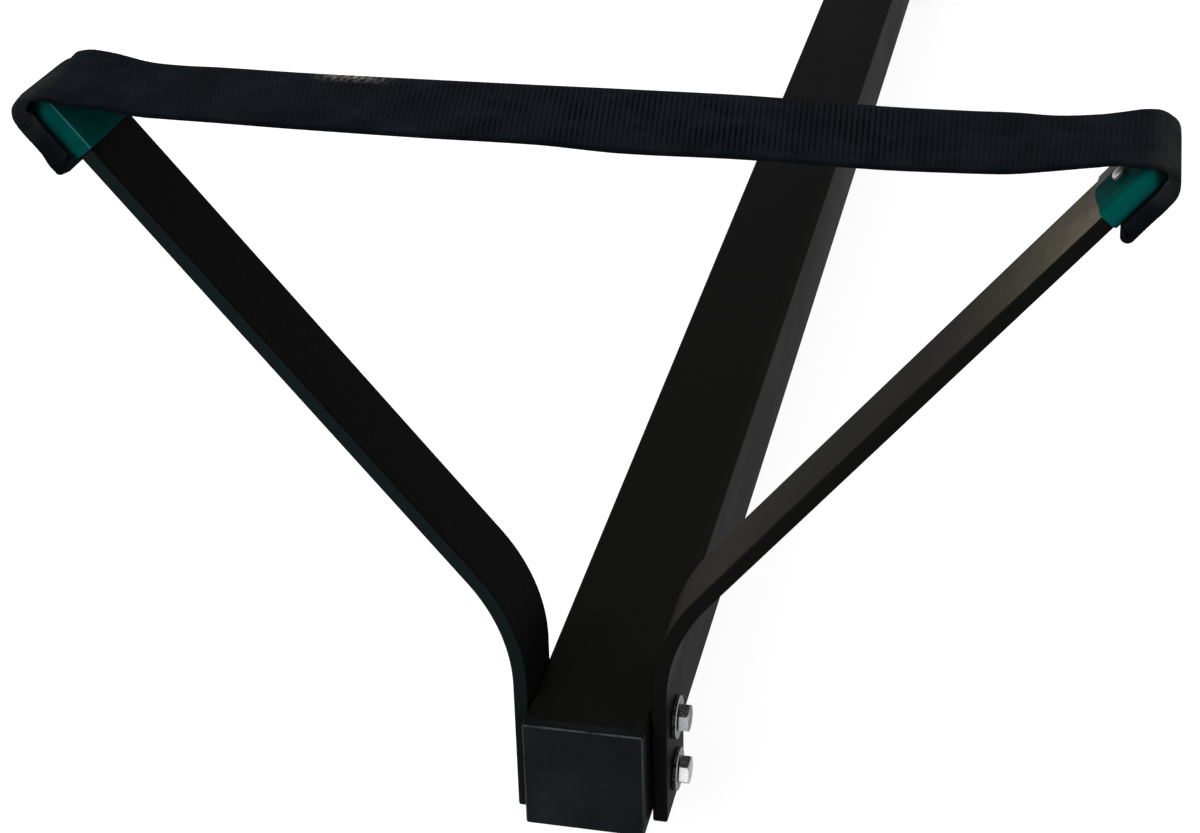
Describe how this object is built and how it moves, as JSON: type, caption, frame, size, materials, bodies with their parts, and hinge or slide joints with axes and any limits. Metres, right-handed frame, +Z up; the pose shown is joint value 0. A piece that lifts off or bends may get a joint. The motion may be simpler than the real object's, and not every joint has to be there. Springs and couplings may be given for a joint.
{
  "type": "rowing shell car rack",
  "caption": "Car-top rack for one rowing shell: a long square beam with a webbing sling between bent arms at each end, and clamps for the car's crossbars.",
  "frame": {"origin": "the middle of the beam's underside, midway between the two crossbar clamps and the two cradles", "axes": "+Y along the beam, away from the cradle in the picture; +Z up; +X to the right as seen from the near end"},
  "size_m": [0.427, 3.0584, 0.3541],
  "materials": {
    "black_powder_coat": "satin",
    "charcoal_plastic": "satin",
    "teal_vinyl": "satin",
    "black_webbing": "matte",
    "zinc_plate": "satin",
    "bright_rivet": "gloss"
  },
  "bodies": {
    "root": {"beam_tube": "black_powder_coat", "near_end_plug": "charcoal_plastic", "far_end_plug": "charcoal_plastic", "near_left_arm": "black_powder_coat", "near_right_arm": "black_powder_coat", "far_left_arm": "black_powder_coat", "far_right_arm": "black_powder_coat", "near_left_tip_sleeve": "teal_vinyl", "near_right_tip_sleeve": "teal_vinyl", "far_left_tip_sleeve": "teal_vinyl", "far_right_tip_sleeve": "teal_vinyl", "near_sling": "black_webbing", "far_sling": "black_webbing", "near_left_sling_rivet": "bright_rivet", "near_right_sling_rivet": "bright_rivet", "far_left_sling_rivet": "bright_rivet", "far_right_sling_rivet": "bright_rivet", "near_left_rivet_washer": "zinc_plate", "near_right_rivet_washer": "zinc_plate", "far_left_rivet_washer": "zinc_plate", "far_right_rivet_washer": "zinc_plate", "near_upper_bolt": "zinc_plate", "near_lower_bolt": "zinc_plate", "far_upper_bolt": "zinc_plate", "far_lower_bolt": "zinc_plate", "near_upper_bolt_washer": "zinc_plate", "near_lower_bolt_washer": "zinc_plate", "far_upper_bolt_washer": "zinc_plate", "far_lower_bolt_washer": "zinc_plate", "near_clamp_plate": "black_powder_coat", "far_clamp_plate": "black_powder_coat", "near_clamp_front_u_bolt": "zinc_plate", "near_clamp_rear_u_bolt": "zinc_plate", "far_clamp_front_u_bolt": "zinc_plate", "far_clamp_rear_u_bolt": "zinc_plate", "near_clamp_front_left_nut": "zinc_plate", "near_clamp_front_right_nut": "zinc_plate", "near_clamp_rear_left_nut": "zinc_plate", "near_clamp_rear_right_nut": "zinc_plate", "far_clamp_front_left_nut": "zinc_plate", "far_clamp_front_right_nut": "zinc_plate", "far_clamp_rear_left_nut": "zinc_plate", "far_clamp_rear_right_nut": "zinc_plate"}
  },
  "joints": []
}
